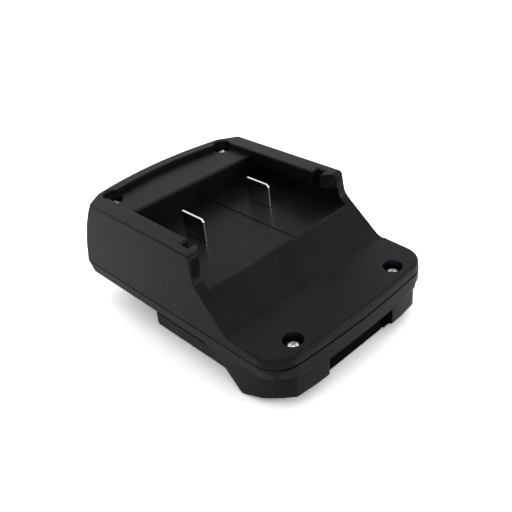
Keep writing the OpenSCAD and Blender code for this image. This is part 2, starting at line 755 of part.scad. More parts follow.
// A closed tube of triangles along a path; side is a direction that the path never runs along
module tube(path, d, sides, side) {
    n = len(path);
    rings = [for (i = [0 : n - 1]) let (h = heading(path, i), u = unit(cross(side, h)), v = cross(h, u))
        for (k = [0 : sides - 1]) path[i] + d / 2 * (cos(360 * k / sides) * u + sin(360 * k / sides) * v)];
    walls = [for (i = [0 : n - 2], k = [0 : sides - 1], half = [0, 1])
        let (a = i * sides + k, b = i * sides + (k + 1) % sides)
        half == 0 ? [a, a + sides, b] : [b, a + sides, b + sides]];
    caps = [for (k = [1 : sides - 2]) each
        [[0, k, k + 1], [(n - 1) * sides, (n - 1) * sides + k + 1, (n - 1) * sides + k]]];
    polyhedron(rings, concat(walls, caps));
}

module wire() tube(curve(wire_route, 3), wire_d, 8, [1, 0, 0]);
module positive_wire() color(red_wire) wire();
module negative_wire() color(black_wire) mirror([1, 0, 0]) wire();

sleeve_room = 1.9;
sleeve_bore = wire_d + sleeve_room;
sleeve_pull = 0.15;
sleeve_shift = wire_d / 2 - sleeve_pull;
sleeve_l = 5.2;
sleeve_start = 0.3;
module sleeve(l) difference() {
    cylinder(d = sleeve_bore + 2 * sleeve_t, h = l);
    translate([0, 0, -over]) cylinder(d = sleeve_bore, h = l + 2 * over);
}
module blade_sleeve() translate([blade_x + sleeve_shift, tail_y, tail_z + sleeve_start]) sleeve(sleeve_l);
module clip_sleeve() translate([clip_x + sleeve_shift, clip_tail_y + sleeve_start, clip_tail_z])
    rotate([-90, 0, 0]) sleeve(sleeve_l);

module positive_blade_sleeve() color(red_wire) blade_sleeve();
module negative_blade_sleeve() color(black_wire) mirror([1, 0, 0]) blade_sleeve();
module positive_clip_sleeve() color(red_wire) clip_sleeve();
module negative_clip_sleeve() color(black_wire) mirror([1, 0, 0]) clip_sleeve();

// Release latch

hook_tip_z = key_d - button_travel;
hook_flat = 1.2;
face_over = 2;
face_top_z = toe_h + face_over;
arm_top_z = arm_z + arm_t;
peg_gap = 0.3;
peg_d = 2 * (spring_r - peg_gap) - spring_wire;
peg_h = 1.5;
module release_button() color(shell_black) {
    face_half = button_w / 2 - button_clear;
    block([-face_half, button_y0, button_low], [face_half, button_y0 + button_t, face_top_z]);
    block([-face_half, button_y0, button_low],
        [face_half, button_rear_y - button_clear, button_low + button_t]);
    block([-face_half, button_y0, arm_z], [face_half, wing_y0 + eps, arm_top_z]);
    block([-wing_half, wing_y0, arm_z], [wing_half, wing_y1, arm_top_z]);
    block([-hook_w / 2, wing_y1 - eps, arm_z], [hook_w / 2, hook_y1, arm_top_z]);
    // Hook: square towards the nose, sloped towards the rear
    along_x(hook_w) polygon([
        [hook_y0, arm_z + eps], [hook_y0, hook_tip_z], [hook_y0 + hook_flat, hook_tip_z],
        [hook_y1, key_d], [hook_y1, arm_z + eps]]);
    both_sides() translate([spring_x, spring_y, arm_top_z - eps]) cylinder(d = peg_d, h = peg_h + eps);
}

spring_low = arm_top_z + spring_wire / 2 + fit;
spring_high = retainer_z - spring_wire / 2 - fit;
spring_rings = 8;
spring_steps = spring_rings * spring_turns;
spring_path = [for (i = [0 : spring_steps]) let (a = 360 * i / spring_rings)
    [spring_r * cos(a), spring_r * sin(a), mix(spring_low, spring_high, i / spring_steps)]];
// Least gap between one turn and the next, measured on the path's points
spring_gap = min([for (i = [0 : spring_steps - spring_rings], k = [spring_rings / 2 : spring_rings])
    norm(spring_path[i] - spring_path[i + k])]) - spring_wire;
echo(spring_gap = spring_gap);

module latch_spring() translate([spring_x, spring_y, 0]) tube(spring_path, spring_wire, 6, [0, 0, 1]);
module right_latch_spring() color(steel) latch_spring();
module left_latch_spring() color(steel) mirror([1, 0, 0]) latch_spring();

retainer_leg_x = wing_half + button_clear;
module latch_retainer() color(inner_grey) difference() {
    union() {
        block([-retainer_leg_x - rib_t, wing_y0, retainer_z],
            [retainer_leg_x + rib_t, wing_y1, nose_under_z - seat_gap]);
        both_sides() {
            block([retainer_leg_x, wing_y0, retainer_foot_z],
                [retainer_leg_x + rib_t, wing_y1, retainer_z + eps]);
            block([retainer_leg_x, wing_y0, retainer_foot_z],
                [retainer_screw_x + retainer_boss_d / 2, wing_y1, retainer_foot_z + retainer_foot_t]);
        }
    }
    both_sides() translate([retainer_screw_x, spring_y, retainer_foot_z - over])
        cylinder(d = small_d + 4 * fit, h = retainer_foot_t + 2 * over);
}

module latch_retainer_screws() color(steel) both_sides()
    translate([retainer_screw_x, spring_y, retainer_foot_z + retainer_foot_t])
        pan_screw(small_d, retainer_foot_t + small_screw_l - 2 * tip_gap, small_head_d, small_head_h);

upper_housing();
lower_housing();
housing_screws();
positive_blade();
negative_blade();
blade_clamp();
blade_clamp_screws();
terminal_block();
terminal_block_screws();
positive_clip();
negative_clip();
positive_wire();
negative_wire();
positive_blade_sleeve();
negative_blade_sleeve();
positive_clip_sleeve();
negative_clip_sleeve();
release_button();
left_latch_spring();
right_latch_spring();
latch_retainer();
latch_retainer_screws();
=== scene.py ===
import math

import bmesh
import bpy
from mathutils import Matrix, Vector


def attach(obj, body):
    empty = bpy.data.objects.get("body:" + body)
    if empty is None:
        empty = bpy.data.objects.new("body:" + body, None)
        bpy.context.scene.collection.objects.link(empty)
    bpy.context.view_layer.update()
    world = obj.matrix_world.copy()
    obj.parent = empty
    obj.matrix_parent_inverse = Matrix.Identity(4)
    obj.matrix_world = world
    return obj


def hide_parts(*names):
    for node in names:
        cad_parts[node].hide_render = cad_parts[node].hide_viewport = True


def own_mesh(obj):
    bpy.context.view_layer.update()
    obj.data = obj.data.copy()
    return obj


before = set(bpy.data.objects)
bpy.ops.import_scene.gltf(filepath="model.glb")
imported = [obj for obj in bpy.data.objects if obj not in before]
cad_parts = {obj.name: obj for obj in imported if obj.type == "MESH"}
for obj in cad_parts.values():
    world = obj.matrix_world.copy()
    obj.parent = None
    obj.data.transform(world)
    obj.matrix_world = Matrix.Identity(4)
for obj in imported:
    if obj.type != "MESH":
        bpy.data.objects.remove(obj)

mm = 0.001
scene = bpy.context.scene
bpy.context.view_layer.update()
print("frame loaded:", len(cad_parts), "nodes")


class Flow:
    # a node socket that can stand in a Python expression; node() adds any other kind of node

    def __init__(self, tree, socket=None):
        self.tree = tree
        self.socket = socket

    def node(self, kind, settings=None, sockets=None, out=0):
        made = self.tree.nodes.new(kind)
        for key, value in (settings or {}).items():
            setattr(made, key, value)
        for key, value in (sockets or {}).items():
            if isinstance(value, Flow):
                self.tree.links.new(value.socket, made.inputs[key])
            else:
                made.inputs[key].default_value = value
        return Flow(self.tree, made.outputs[out] if len(made.outputs) else None)

    def maths(self, operation, first, second):
        return self.node("ShaderNodeMath", {"operation": operation}, {0: first, 1: second})

    def __add__(self, other):
        return self.maths("ADD", self, other)

    def __radd__(self, other):
        return self.maths("ADD", other, self)

    def __sub__(self, other):
        return self.maths("SUBTRACT", self, other)

    def __rsub__(self, other):
        return self.maths("SUBTRACT", other, self)

    def __mul__(self, other):
        return self.maths("MULTIPLY", self, other)

    def __rmul__(self, other):
        return self.maths("MULTIPLY", other, self)

    def __truediv__(self, other):
        return self.maths("DIVIDE", self, other)

    def __rtruediv__(self, other):
        return self.maths("DIVIDE", other, self)


noiseMiddle = 0.5  # what a noise gives on average


def startMaterial(name):
    material = bpy.data.materials.new(name)
    material.use_nodes = True
    material.node_tree.nodes.clear()
    flow = Flow(material.node_tree)
    return material, flow, flow.node("ShaderNodeTexCoord", out="Object")


def closeMaterial(flow, sockets):
    shader = flow.node("ShaderNodeBsdfPrincipled", {}, sockets)
    flow.node("ShaderNodeOutputMaterial", {}, {"Surface": shader})


def mixColour(flow, share, first, second):
    # sockets 0, 6 and 7 of a Mix node take the share and the two colours, and output 2 is a colour
    return flow.node("ShaderNodeMix", {"data_type": "RGBA"}, {0: share, 6: first, 7: second}, out=2)


def band(flow, value, low, high):
    # 0 below low, 1 above high, smooth between
    return flow.node("ShaderNodeMapRange", {"interpolation_type": "SMOOTHSTEP"},
                     {"Value": value, "From Min": low, "From Max": high})


def noise(flow, place, size, detail=2.0):
    return flow.node("ShaderNodeTexNoise", {}, {"Vector": place, "Scale": 1 / size, "Detail": detail})


def relief(flow, height, strength, depth):
    return flow.node("ShaderNodeBump", {}, {"Strength": strength, "Distance": depth, "Height": height})


def wornAndSheenEdges(flow):
    # 1 on the edges that use or cutting has laid bare and on strips lightened as a painted highlight,
    # less on other rounded edges as painted edge sheen, from the mesh
    return flow.node("ShaderNodeAttribute", {"attribute_name": "wearAndEdgeSheen"}, out="Fac")


def mouldedPlastic(name, look):
    # spark-eroded grain, slow mottling, short handling scuffs, and edges polished by use and lightened
    # as a painted edge highlight
    material, flow, place = startMaterial(name)
    mottle = noise(flow, place, look["mottleSize"], detail=3.0)
    grain = noise(flow, place, look["grainSize"], detail=3.0)
    pits = flow.node("ShaderNodeTexVoronoi", {"feature": "SMOOTH_F1"}, {
        "Vector": place, "Scale": 1 / look["pitSize"], "Smoothness": look["pitSoftness"]})
    streakPlace = flow.node("ShaderNodeMapping", {}, {
        "Vector": place, "Rotation": look["scuffTurn"], "Scale": look["scuffStretch"]})
    streak = noise(flow, streakPlace, look["scuffSize"])
    scuffArea = noise(flow, place, look["scuffArea"])
    scuff = band(flow, streak, *look["streakBand"]) * band(flow, scuffArea, *look["areaBand"])
    # edges lighter from wear and from a painted edge highlight
    wearAndSheen = wornAndSheenEdges(flow) * band(flow, mottle, *look["wearSheenBand"])
    colour = mixColour(flow, band(flow, mottle, *look["mottleBand"]), look["dark"], look["light"])
    colour = mixColour(flow, scuff * look["scuffShare"], colour, look["wornAndSheen"])
    colour = mixColour(flow, wearAndSheen * look["wearSheenShare"], colour, look["wornAndSheen"])
    rough = look["roughness"] + (mottle - noiseMiddle) * look["roughSpread"]
    rough = rough + (grain - noiseMiddle) * look["grainRough"]
    rough = rough - wearAndSheen * look["wearSheenGloss"] - scuff * look["scuffGloss"]
    height = grain * look["grainHeight"] + pits * look["pitHeight"]
    bump = relief(flow, height, look["grainStrength"], look["grainDepth"])
    closeMaterial(flow, {"Base Color": colour, "Roughness": rough, "Normal": bump,
                         "Specular IOR Level": look["specular"], "Specular Tint": look["sheenTint"]})
    return material


def platedMetal(name, look):
    # drawn or plated metal with fine lines along one direction, dull clouds and bright cut edges
    material, flow, place = startMaterial(name)
    linePlace = flow.node("ShaderNodeMapping", {}, {"Vector": place, "Scale": look["lineStretch"]})
    lines = noise(flow, linePlace, look["lineSize"])
    cloud = noise(flow, place, look["cloudSize"], detail=3.0)
    dull = band(flow, cloud, *look["dullBand"])
    colour = mixColour(flow, dull, look["bright"], look["dull"])
    colour = mixColour(flow, wornAndSheenEdges(flow) * look["cutShare"], colour, look["cut"])
    rough = look["roughness"] + (lines - noiseMiddle) * look["lineRough"] + dull * look["dullRough"]
    bump = relief(flow, lines, look["lineStrength"], look["lineDepth"])
    closeMaterial(flow, {"Base Color": colour, "Roughness": rough, "Metallic": 1.0, "Normal": bump})
    return material


def wireJacket(name, look):
    # soft extruded plastic: faint ripples and a slightly waxy bloom
    material, flow, place = startMaterial(name)
    ripple = noise(flow, place, look["rippleSize"])
    bloom = band(flow, noise(flow, place, look["bloomSize"], detail=3.0), *look["bloomBand"])
    colour = mixColour(flow, bloom * look["bloomShare"], look["colour"], look["bloom"])
    rough = look["roughness"] + bloom * look["bloomRough"]
    bump = relief(flow, ripple, look["rippleStrength"], look["rippleDepth"])
    closeMaterial(flow, {"Base Color": colour, "Roughness": rough, "Normal": bump})
    return material


shellLook = {
    "dark": (0.0032, 0.0029, 0.0034, 1), "light": (0.0056, 0.0051, 0.0059, 1),
    "wornAndSheen": (0.020, 0.018, 0.021, 1), "sheenTint": (0.97, 0.82, 1.0, 1), "specular": 0.125,
    "mottleSize": 13 * mm, "mottleBand": (0.25, 0.75), "roughness": 0.36, "roughSpread": 0.1,
    "grainSize": 0.42 * mm, "grainHeight": 0.55, "grainRough": 0.3, "grainStrength": 1.2,
    "grainDepth": 0.05 * mm, "pitSize": 0.75 * mm, "pitSoftness": 0.6, "pitHeight": 0.6,
    "scuffSize": 0.9 * mm, "scuffTurn": (0.3, 0.2, 0.9), "scuffStretch": (1.0, 0.06, 1.0),
    "scuffArea": 17 * mm, "streakBand": (0.62, 0.72), "areaBand": (0.5, 0.68),
    "scuffShare": 0.3, "scuffGloss": 0.05, "wearSheenBand": (0.3, 0.65), "wearSheenShare": 0.6, "wearSheenGloss": 0.06}
# the button's black, darker and duller than the shell: partly its own soft finish, partly painted shade
# so that it reads as the shade deep in its notch; the same finish paints shade on the notch walls and
# shadow lines
buttonAndShadeLook = dict(shellLook, dark=(0.0016, 0.0016, 0.0018, 1), light=(0.0026, 0.0026, 0.0028, 1),
                  grainSize=0.2 * mm, grainStrength=0.35, roughness=0.72, specular=0.02)
innerLook = dict(shellLook, dark=(0.045, 0.045, 0.048, 1), light=(0.066, 0.066, 0.07, 1),
                 wornAndSheen=(0.12, 0.12, 0.125, 1), grainStrength=0.25, roughness=0.48)

metalLook = {"dullBand": (0.5, 0.75), "lineRough": 0.1, "lineDepth": 0.02 * mm,
             "cut": (0.88, 0.87, 0.84, 1), "cutShare": 0.0}
zincLook = dict(metalLook, bright=(0.86, 0.86, 0.85, 1), dull=(0.66, 0.66, 0.65, 1),
                lineStretch=(1, 1, 0.2), lineSize=0.15 * mm, lineStrength=0.12, cloudSize=1.4 * mm,
                roughness=0.28, dullRough=0.12)
nickelLook = dict(metalLook, bright=(0.46, 0.45, 0.43, 1), dull=(0.36, 0.35, 0.33, 1),
                  lineStretch=(1, 0.05, 1), lineSize=0.3 * mm, lineStrength=0.03, cloudSize=2.2 * mm,
                  roughness=0.12, dullRough=0.05, cutShare=1.0)
springLook = dict(metalLook, bright=(0.42, 0.42, 0.43, 1), dull=(0.25, 0.25, 0.26, 1),
                  lineStretch=(1, 1, 1), lineSize=0.1 * mm, lineStrength=0.15, cloudSize=1.2 * mm,
                  roughness=0.32, dullRough=0.12)

jacketLook = {"rippleSize": 0.5 * mm, "rippleStrength": 0.2, "rippleDepth": 0.04 * mm,
              "bloomSize": 4 * mm, "bloomBand": (0.45, 0.8), "bloomShare": 0.6, "bloomRough": 0.15}
redLook = dict(jacketLook, colour=(0.36, 0.012, 0.010, 1), bloom=(0.45, 0.05, 0.045, 1),
               roughness=0.38)
blackLook = dict(jacketLook, colour=(0.012, 0.012, 0.013, 1), bloom=(0.03, 0.03, 0.032, 1),
                 roughness=0.36)

shellPlastic = mouldedPlastic("shellPlastic", shellLook)
buttonAndShadePlastic = mouldedPlastic("buttonAndShadePlastic", buttonAndShadeLook)
innerPlastic = mouldedPlastic("innerPlastic", innerLook)
zincSteel = platedMetal("zincSteel", zincLook)
contactNickel = platedMetal("contactNickel", nickelLook)
springSteel = platedMetal("springSteel", springLook)
redJacket = wireJacket("redJacket", redLook)
blackJacket = wireJacket("blackJacket", blackLook)
print("finishes made")


def newObject(name, data):
    item = bpy.data.objects.new(name, data)
    scene.collection.objects.link(item)
    return item


def addPiece(name, mesh, body, materialSlot, *nodes):
    piece = newObject(name, mesh)
    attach(piece, body)
    if nodes:
        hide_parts(*nodes)
    return piece


def meshOf(name, shape):
    mesh = bpy.data.meshes.new(name)
    shape.to_mesh(mesh)
    shape.free()
    return mesh


def plainMesh(helper):
    # the finished mesh of a helper object, which is then removed
    bpy.context.view_layer.update()
    shown = helper.evaluated_get(bpy.context.evaluated_depsgraph_get())
    mesh = bpy.data.meshes.new_from_object(shown)
    bpy.data.objects.remove(helper)
    return mesh


def inBoxes(place, boxes):
    # boxes are pairs of corners in mm
    return any(all(low[k] * mm < place[k] < high[k] * mm for k in range(3)) for low, high in boxes)


def edgeMiddle(edge):
    return (edge.verts[0].co + edge.verts[1].co) / 2


def edgeReach(edge, face):
    # how far the face goes away from the edge
    origin = edge.verts[0].co
    along = (edge.verts[1].co - origin).normalized()
    return max(((v.co - origin) - along * (v.co - origin).dot(along)).length for v in face.verts)


def endsOpen(edge, narrowest):
    # true where no face beside the edge runs out into a thin wedge at either end of it
    return all(loop.calc_angle() > narrowest for face in edge.link_faces for loop in face.loops
               if loop.vert in edge.verts)


def fillHollows(shape, look):
    # turns the hollow facets between flange and foot outwards
    rim = [vert for vert in shape.verts if abs(vert.co.z - look["bandTop"]) < look["rimNear"]]
    bmesh.ops.remove_doubles(shape, verts=rim, dist=look["rimMerge"])
    for edge in [e for e in shape.edges if inBoxes(edgeMiddle(e), look["tapered"])]:
        tall = abs(edge.verts[0].co.z - edge.verts[1].co.z) > look["tall"]
        if not tall or edge.is_convex or len(edge.link_faces) != 2:
            continue
        if edge.calc_face_angle(0) > math.radians(look["hollow"]):
            bmesh.utils.edge_rotate(edge, False)


def joinedShape(node, look):
    # a copy of a CAD node with its loose triangles joined up into whole faces
    shape = bmesh.new()
    shape.from_mesh(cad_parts[node].data)
    for vert in shape.verts:
        side = math.copysign(1, vert.co.x)
        for x, y in look["tucked"]:
            if (vert.co - Vector((side * x, y, look["bandLow"])) * mm).length < look["tuckNear"]:
                vert.co += Vector((-side, 1, 0)) * look["bandStep"] * mm
    bmesh.ops.remove_doubles(shape, verts=shape.verts, dist=look["merge"])
    bmesh.ops.dissolve_degenerate(shape, dist=look["merge"], edges=shape.edges)
    if look["tapered"]:
        fillHollows(shape, look)
    bmesh.ops.dissolve_limit(shape, angle_limit=math.radians(look["flat"]),
                             verts=shape.verts, edges=shape.edges)
    for height in look["cuts"]:
        whole = shape.verts[:] + shape.edges[:] + shape.faces[:]
        bmesh.ops.bisect_plane(shape, geom=whole, dist=look["cutNear"],
                               plane_co=(0, 0, height * mm), plane_no=(0, 0, 1))
    return shape


def weighEdges(shape, look):
    # picks the outer edges to round, with a smaller radius on narrow steps
    weight = shape.edges.layers.float.new("bevel_weight_edge")
    for edge in shape.edges:
        if len(edge.link_faces) != 2 or not edge.is_convex:
            continue
        if edge.calc_face_angle(0) < math.radians(look["sharp"]):
            continue
        if inBoxes(edgeMiddle(edge), look["crisp"]) or not endsOpen(edge, math.radians(look["wedge"])):
            continue
        room = min(edgeReach(edge, face) for face in edge.link_faces)
        if room > look["fullRoom"] * look["round"]:
            edge[weight] = 1.0
        elif room > look["smallRoom"] * look["small"] * look["round"]:
            edge[weight] = look["small"]


def roundedMesh(name, shape, look):
    for face in shape.faces:
        face.smooth = True
        face.material_index = 0
    mesh = meshOf(name, shape)
    mesh.materials.append(look["finish"])
    mesh.materials.append(look["finish"])  # this second slot only marks the rounded strips
    helper = newObject(name, mesh)
    bevel = helper.modifiers.new("bevel", "BEVEL")
    bevel.limit_method = "WEIGHT"
    bevel.width = look["round"]
    bevel.segments = look["segments"]
    bevel.use_clamp_overlap = False
    bevel.loop_slide = True
    bevel.material = 1
    return plainMesh(helper)


def markWearAndSheen(mesh, look):
    # 1 where the battery slides, on strips lightened as a painted highlight, or where metal was cut, and
    # less on the other rounded strips as painted edge sheen
    wearSheen = mesh.attributes.new("wearAndEdgeSheen", "FLOAT", "FACE")
    for polygon in mesh.polygons:
        around = sum((mesh.vertices[a].co - mesh.vertices[b].co).length for a, b in polygon.edge_keys)
        if polygon.material_index == 1:
            slidAndLit = inBoxes(polygon.center, look["slidAndLit"])
            wearSheen.data[polygon.index].value = 1.0 if slidAndLit else look["edgeSheenShare"]
        elif polygon.area < around * look["cutEdge"]:
            wearSheen.data[polygon.index].value = 1.0
        polygon.material_index = 0
    mesh.materials.pop(index=1)


def settleNormals(mesh, look):
    facing = [corner.vector.copy() for corner in mesh.corner_normals]
    for polygon in mesh.polygons:
        for k in polygon.loop_indices:
            if facing[k].dot(polygon.normal) < look["stray"]:  # it took a neighbour's direction
                facing[k] = polygon.normal.copy()
        if not inBoxes(polygon.center, look["tapered"]):
            continue
        if polygon.normal.z < look["taperDown"] and polygon.normal.y < look["taperBack"]:
            for k in polygon.loop_indices:  # the nose is shaded as one soft turn
                spot = mesh.vertices[mesh.loops[k].vertex_index].co
                across = math.copysign(max(abs(spot.x) - look["turnX"], 0), spot.x)
                facing[k] = Vector((across, min(spot.y - look["turnY"], 0), 0)).normalized()
    mesh.normals_split_custom_set(facing)


def paintNotchAndLineShade(mesh, look):
    # painted shade: the walls of the notch and the thin shadow lines below the flange and at the seam
    # take the darker, duller button finish in place of the shade that falls there
    mesh.materials.append(look["paintedShadeFinish"])
    for polygon in mesh.polygons:
        notch = inBoxes(polygon.center, look["paintedShadeNotch"]) and abs(polygon.normal.y) < look["paintedShadeTilt"]
        line = inBoxes(polygon.center, look["lines"]) and abs(polygon.normal.z) < look["paintedShadowTilt"]
        polygon.material_index = 1 if notch or line else 0


def softenedMesh(node, look):
    # a CAD node with rounded outer edges, strips lighter from wear and painted edge sheen, and even
    # shading
    name = node + "Soft"
    shape = joinedShape(node, look)
    weighEdges(shape, look)
    mesh = roundedMesh(name, shape, look)
    markWearAndSheen(mesh, look)
    mesh.set_sharp_from_angle(angle=math.radians(look["crease"]))
    helper = newObject(name, mesh)
    helper.modifiers.new("weighted", "WEIGHTED_NORMAL").keep_sharp = True
    mesh = plainMesh(helper)
    settleNormals(mesh, look)
    # painted shade on the notch walls and painted shadow lines on the thin strips
    if look["paintedShadeNotch"]:
        paintNotchAndLineShade(mesh, look)
    return mesh


plainShape = {
    "merge": 0.004 * mm, "flat": 0.05, "sharp": 28, "wedge": 30, "crease": 34,  # angles in degrees
    "round": 0.7 * mm, "small": 0.5, "segments": 2, "fullRoom": 6, "smallRoom": 2.2,
    "edgeSheenShare": 0.25, "cutEdge": 0, "stray": 0.7,
    "slidAndLit": [], "crisp": [], "tapered": [], "tucked": [], "cuts": [], "paintedShadeNotch": []}
shellShape = dict(
    plainShape, finish=shellPlastic,
    slidAndLit=[  # rails, ramp edge and lip ends where the battery rubs, lightened further as painted highlights, boxes in mm
        ((-33, -21, 34.5), (33, -18.5, 36.5)), ((-37, -17, 41), (37, 31, 43)),
        ((-41, -17, 37), (-31, -9, 49)), ((31, -17, 37), (41, -9, 49))],
    crisp=[  # edges that stay sharp, boxes in mm: parting line, flange, lead-ins, rim corners
        ((-43, -60, 18.9), (43, 60, 20.7)), ((-43, -60, 12.4), (43, 60, 15.7)),
        ((-36.9, -16.2, 41.6), (-34.4, -13.5, 48.5)), ((34.4, -16.2, 41.6), (36.9, -13.5, 48.5)),
        ((-35, 42.5, 47), (-32.2, 46, 49)), ((32.2, 42.5, 47), (35, 46, 49)),
        ((-33, -56, 16.5), (33, -44, 17.3)), ((-27, -55.6, 17.4), (27, -53.9, 18)),  # boss ends inside
        ((-35.5, 40, 39.9), (35.5, 51.5, 40.7)), ((-30, -46, 10.9), (30, -39, 11.5)),
        ((-30, 7, 9.1), (30, 13, 9.7))],
    tapered=[((-43, -60, 12.6), (43, -19, 15.5))],  # the band between flange and foot, in mm
    bandTop=15.3 * mm, rimNear=0.05 * mm, rimMerge=0.03 * mm, tall=2 * mm, hollow=3,
    turnX=26 * mm, turnY=-40 * mm, taperDown=-0.1, taperBack=0.3,
    bandLow=12.9, bandStep=0.15, tuckNear=0.03 * mm,  # its lower edge dies away round the corners, mm
    tucked=[(33.4, -55.8), (35, -53.65), (36.6, -51.5), (37.5, -49.95), (38.4, -48.4),
            (39.25, -46.65), (40.1, -44.9)])
lowerShape = dict(
    shellShape, paintedShadeFinish=buttonAndShadePlastic, paintedShadeTilt=0.8, paintedShadowTilt=0.5,
    paintedShadeNotch=[((-19.6, -57.45, 0.5), (19.6, -44, 12.4))],  # walls of the button's notch, which get painted shade, mm
    # these cuts make the thin strips that carry the painted shadow lines
    cuts=[12.25, 19.0], cutNear=0.0001 * mm,
    lines=[((-36.5, -57, 12.25), (36.5, -46, 12.9)),  # painted shadow lines below the flange and the seam, mm
           ((-37, -58, 19.0), (37, -53, 19.3))])
buttonShape = dict(plainShape, round=0.4 * mm, finish=buttonAndShadePlastic)
addPiece("upperShell", softenedMesh("upper_housing", shellShape), "housing", "shell", "upper_housing")
addPiece("lowerShell", softenedMesh("lower_housing", lowerShape), "housing", "shell", "lower_housing")
addPiece("releaseButton", softenedMesh("release_button", buttonShape), "button", "button",
         "release_button")
print("shells and button rounded")

buttonGuard = {"inner": 17.62, "outer": 18.9, "round": 0.2 * mm, "segments": 2,  # mm
               "corner": 60, "crease": 40,  # degrees
               "profile": [(-55.6, 5.3), (-55.2, 4.65), (-54.1, 3.4), (-53.2, 2.1), (-52.9, 1.5),
                           (-52.6, 1.35), (-46.6, 1.35), (-46, 1.7), (-45.8, 3.1)]}


def guardMesh(look):
    # a low fence on each side of the button
    shape = bmesh.new()
    count = len(look["profile"])
    for side in (-1, 1):
        near, far = ([shape.verts.new(Vector((side * x, y, z)) * mm) for y, z in look["profile"]]
                     for x in (look["inner"], look["outer"]))
        shape.faces.new(near)
        shape.faces.new(far)
        for k in range(count):
            shape.faces.new((near[k], near[(k + 1) % count], far[(k + 1) % count], far[k]))
    bmesh.ops.recalc_face_normals(shape, faces=shape.faces)
    corners = [edge for edge in shape.edges if edge.calc_face_angle(0) > math.radians(look["corner"])]
    bmesh.ops.bevel(shape, geom=corners, offset=look["round"], segments=look["segments"],
                    profile=0.5, affect="EDGES")
    for face in shape.faces:
        face.smooth = True
    mesh = meshOf("buttonGuards", shape)
    mesh.set_sharp_from_angle(angle=math.radians(look["crease"]))
    mesh.materials.append(buttonAndShadePlastic)
    return mesh


addPiece("buttonGuards", guardMesh(buttonGuard), "housing", "button")
print("button guards set")

bladeShape = dict(plainShape, round=0.14 * mm, small=1, finish=contactNickel, edgeSheenShare=1.0,
                  cutEdge=0.45 * mm)  # narrower sides than this count as cut
clipShape = dict(bladeShape, round=0.1 * mm)
innerShape = dict(plainShape, round=0.25 * mm, finish=innerPlastic)
redShape = dict(plainShape, round=0.1 * mm, finish=redJacket)
blackShape = dict(redShape, finish=blackJacket)
innerPieces = [
    ("positiveBlade", "positive_blade", "contact", bladeShape),
    ("negativeBlade", "negative_blade", "contact", bladeShape),
    ("positiveClip", "positive_clip", "contact", clipShape),
    ("negativeClip", "negative_clip", "contact", clipShape),
    ("bladeClamp", "blade_clamp", "inner_plastic", innerShape),
    ("terminalBlock", "terminal_block", "inner_plastic", innerShape),
    ("latchRetainer", "latch_retainer", "inner_plastic", innerShape),
    ("positiveBladeSleeve", "positive_blade_sleeve", "red_insulation", redShape),
    ("positiveClipSleeve", "positive_clip_sleeve", "red_insulation", redShape),
    ("negativeBladeSleeve", "negative_blade_sleeve", "black_insulation", blackShape),
    ("negativeClipSleeve", "negative_clip_sleeve", "black_insulation", blackShape)]
for name, node, materialSlot, look in innerPieces:
    addPiece(name, softenedMesh(node, look), "housing", materialSlot, node)
print("contacts, sleeves and inner mouldings rounded")


def startTree(name, inputs):
    tree = bpy.data.node_groups.new(name, "GeometryNodeTree")
    for label, kind in inputs:
        tree.interface.new_socket(label, in_out="INPUT", socket_type="NodeSocket" + kind)
    tree.interface.new_socket("Geometry", in_out="OUTPUT", socket_type="NodeSocketGeometry")
    given = tree.nodes.new("NodeGroupInput")
    return tree, Flow(tree), {label: Flow(tree, given.outputs[label]) for label, kind in inputs}


def closeTree(flow, shape, material):
    whole = flow.node("GeometryNodeRealizeInstances", {}, {"Geometry": shape})
    painted = flow.node("GeometryNodeSetMaterial", {}, {"Geometry": whole, "Material": material})
    flow.node("NodeGroupOutput", {}, {"Geometry": painted})


def sweptTube(flow, path, diameter, sides):
    ring = flow.node("GeometryNodeCurvePrimitiveCircle", {}, {
        "Resolution": sides, "Radius": diameter * 0.5})
    return flow.node("GeometryNodeCurveToMesh", {}, {
        "Curve": path, "Profile Curve": ring, "Fill Caps": True})


def grownMesh(name, tree, values, start=None):
    helper = newObject(name, start or bpy.data.meshes.new(name))
    modifier = helper.modifiers.new("nodes", "NODES")
    modifier.node_group = tree
    for item in tree.interface.items_tree:
        if item.in_out == "INPUT" and item.name in values:
            modifier[item.identifier] = values[item.name]
    return plainMesh(helper)


def smoothTube(mesh):
    # the four-sided faces along the tube, not its flat ends
    for polygon in mesh.polygons:
        polygon.use_smooth = len(polygon.vertices) == 4


def screwTree():
    tree, flow, given = startTree("screwSet", [
        ("Geometry", "Geometry"), ("Screw", "Object"), ("Tilt", "Float"), ("Seed", "Int"),
        ("Material", "Material")])
    turn = flow.node("FunctionNodeRandomValue", {"data_type": "FLOAT"},  # sockets 2 and 3 are its limits
                     {2: 0.0, 3: math.tau, "Seed": given["Seed"]}, out=1)
    lie = flow.node("ShaderNodeCombineXYZ", {}, {"X": given["Tilt"], "Z": turn})
    shape = flow.node("GeometryNodeObjectInfo", {}, {"Object": given["Screw"]}, out="Geometry")
    placed = flow.node("GeometryNodeInstanceOnPoints", {}, {
        "Points": given["Geometry"], "Instance": shape, "Rotation": lie})
    closeTree(flow, placed, given["Material"])
    return tree


def threadRadius(look, z, angle):
    core = look["shank"] / 2 - look["thread"]
    full = min(1.0, (z + look["length"]) / look["point"])  # 0 at the tip, 1 above the point
    ridge = 1 - abs(2 * ((z / look["pitch"] - angle / math.tau) % 1) - 1) * look["flank"]
    return full * (core + look["thread"] * max(0.0, ridge)) + (1 - full) * core * look["tip"]


